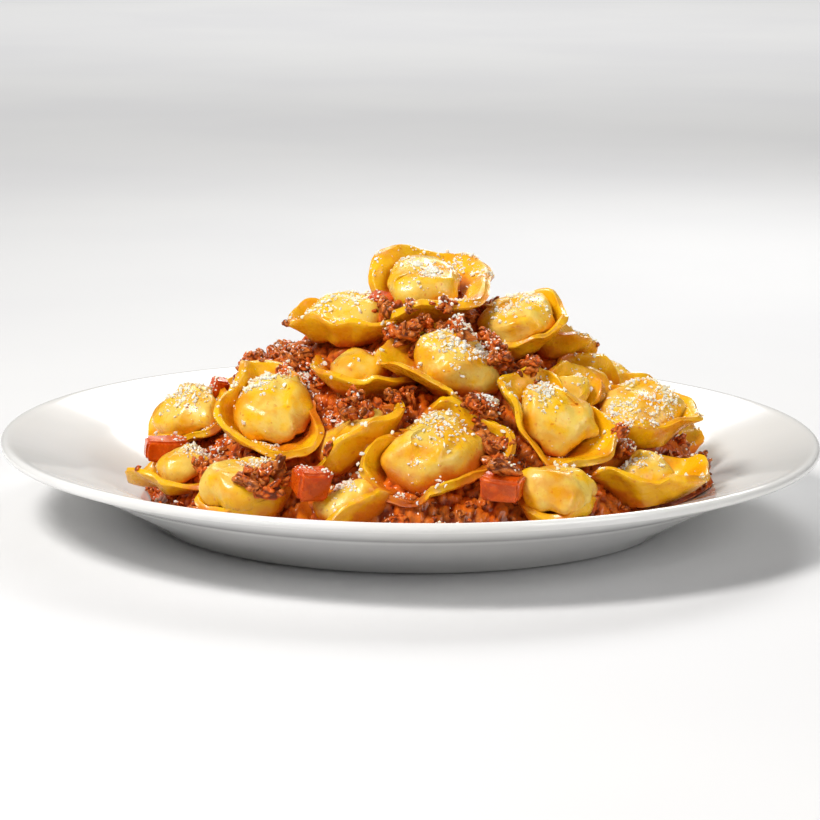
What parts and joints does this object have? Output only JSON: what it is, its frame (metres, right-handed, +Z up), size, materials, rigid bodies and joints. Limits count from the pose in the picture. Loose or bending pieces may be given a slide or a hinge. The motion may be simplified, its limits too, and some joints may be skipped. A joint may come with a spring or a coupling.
{
  "type": "plate of tortellini with meat sauce",
  "caption": "Wide-rimmed white plate heaped with ring-shaped filled pasta in chunky meat sauce, with carrot dice and grated cheese.",
  "frame": {"origin": "the middle of the plate's foot, at table height", "axes": "+Z up, -Y towards the diner, +X to the diner's right"},
  "size_m": [0.26, 0.26, 0.0846],
  "materials": {
    "glaze": "smooth white porcelain glaze",
    "pasta": "cooked egg dough, moist, filmed with sauce",
    "sauce": "minced meat in tomato sauce, wet and lumpy",
    "carrot": "cooked carrot, moist"
  },
  "bodies": {
    "root": {"back_1a": "pasta", "back_1b": "pasta", "back_1c": "pasta", "back_1d": "pasta", "back_1e": "pasta", "back_1f": "pasta", "back_1g": "pasta", "back_1h": "pasta", "back_2a": "pasta", "back_2b": "pasta", "back_2c": "pasta", "back_2d": "pasta", "back_2e": "pasta", "back_3a": "pasta", "back_3b": "pasta", "back_3c": "pasta", "base_front": "pasta", "base_left": "pasta", "base_right": "pasta", "big_left": "pasta", "boat_right": "pasta", "brow_right": "pasta", "carrot_back": "carrot", "carrot_back_left": "carrot", "carrot_back_right": "carrot", "carrot_far_left": "carrot", "carrot_front": "carrot", "carrot_front_left": "carrot", "carrot_summit": "carrot", "carrot_upper_left": "carrot", "crescent": "pasta", "crown_back": "pasta", "ear_high": "pasta", "ear_low": "pasta", "edge_left": "pasta", "flap_right": "pasta", "front_bowl": "pasta", "heart": "pasta", "ledge_left": "pasta", "long_lip": "pasta", "loop_right": "pasta", "low_left": "pasta", "plate": "glaze", "saddle_left": "pasta", "sauce": "sauce", "shoulder_left": "pasta", "shoulder_right": "pasta", "summit": "pasta", "wing_right": "pasta"}
  },
  "joints": []
}
